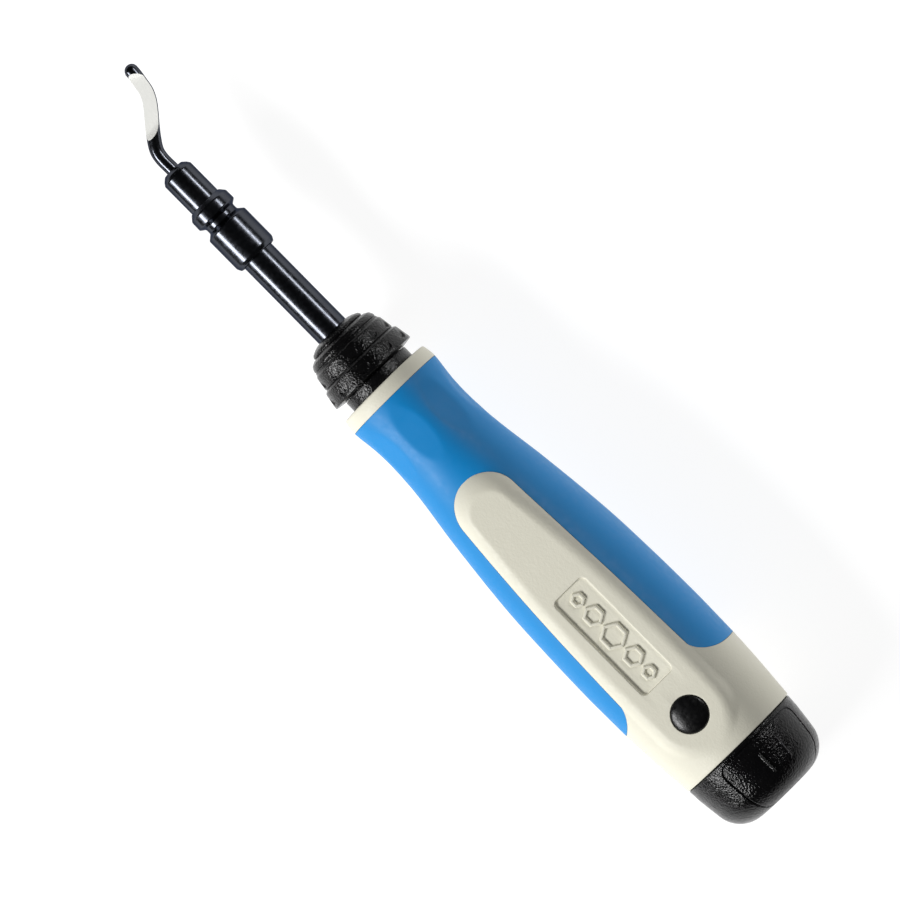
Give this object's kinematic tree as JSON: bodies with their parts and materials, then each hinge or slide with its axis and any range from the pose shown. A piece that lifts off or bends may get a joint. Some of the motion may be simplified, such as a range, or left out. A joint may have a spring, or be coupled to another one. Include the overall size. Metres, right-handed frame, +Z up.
{
  "type": "deburring tool",
  "caption": "Hand deburring tool: swivel hook blade in a sleeve-locked holder on a collet-clamped rod, two-tone grip, push button and magazine for spare blades.",
  "frame": {"origin": "bottom centre of the bounding box: under the middle of the tool, on the surface that its lower flat pad lies on", "axes": "+X along the tool's axis from the blade to the cap, +Z up out of the pad that holds the button, +Y to the side that the hook bends to"},
  "size_m": [0.2124, 0.0326, 0.0312],
  "materials": {
    "blued_steel": "hardened, blued and polished, ground bright on the blade's working face",
    "bright_steel": "bright",
    "brass": "turned",
    "black_nylon": "moulded, lightly textured",
    "grey_shell": "moulded, fine satin grain",
    "blue_grip": "soft satin",
    "seal_rubber": "smooth",
    "button_black": "moulded, fine texture",
    "cap_black": "moulded, textured grip panels"
  },
  "bodies": {
    "handle": {"handle_core": "grey_shell", "grip_overmould": "blue_grip", "collet_seat": "black_nylon", "nose_seal": "seal_rubber", "button_spring": "bright_steel"},
    "extension": {"extension_rod": "blued_steel", "rod_stop": "brass", "holder_barrel": "blued_steel", "lock_ball_left": "bright_steel", "lock_ball_right": "bright_steel", "sleeve_spring": "bright_steel"},
    "blade": {"blade": "blued_steel"},
    "sleeve": {"release_sleeve": "blued_steel"},
    "collet": {"collet": "brass"},
    "nut": {"collet_nut": "black_nylon"},
    "button": {"button": "button_black", "button_retainer": "bright_steel"},
    "magazine": {"magazine_tray": "black_nylon", "cap_washer": "bright_steel", "cap_seal": "seal_rubber", "spare_blade_1": "blued_steel", "spare_blade_2": "blued_steel"},
    "cap": {"end_cap": "cap_black", "cap_screw": "bright_steel"}
  },
  "joints": [
    {"name": "rod_slide", "type": "slide", "parent": "handle", "child": "extension", "axis": [1, 0, 0], "range_m": [-0.015, 0.017]},
    {"name": "blade_spin", "type": "hinge", "parent": "extension", "child": "blade", "pos_m": [-0.0832, 0, 0.015], "axis": [1, 0, 0], "continuous": true},
    {"name": "sleeve_slide", "type": "slide", "parent": "extension", "child": "sleeve", "axis": [1, 0, 0], "range_m": [0, 0.003], "stiffness_N_per_m": 300, "springref_m": -0.006, "deforming": ["sleeve_spring"]},
    {"name": "collet_slide", "type": "slide", "parent": "handle", "child": "collet", "axis": [-1, 0, 0], "range_m": [0, 0.0016]},
    {"name": "nut_turn", "type": "hinge", "parent": "collet", "child": "nut", "pos_m": [-0.0341, 0, 0.015], "axis": [-1, 0, 0], "range_deg": [0, 360]},
    {"name": "button_press", "type": "slide", "parent": "handle", "child": "button", "axis": [0, 0, -1], "range_m": [0, 0.0012], "stiffness_N_per_m": 500, "springref_m": -0.003, "deforming": ["button_spring"]},
    {"name": "magazine_slide", "type": "slide", "parent": "handle", "child": "magazine", "axis": [1, 0, 0], "range_m": [0, 0.045]},
    {"name": "cap_turn", "type": "hinge", "parent": "magazine", "child": "cap", "pos_m": [0.09135, 0, 0.015], "axis": [1, 0, 0], "continuous": true}
  ],
  "couplings": [
    {"joint": "collet_slide", "follows": "nut_turn", "m_per_rad": 0.00023873}
  ]
}
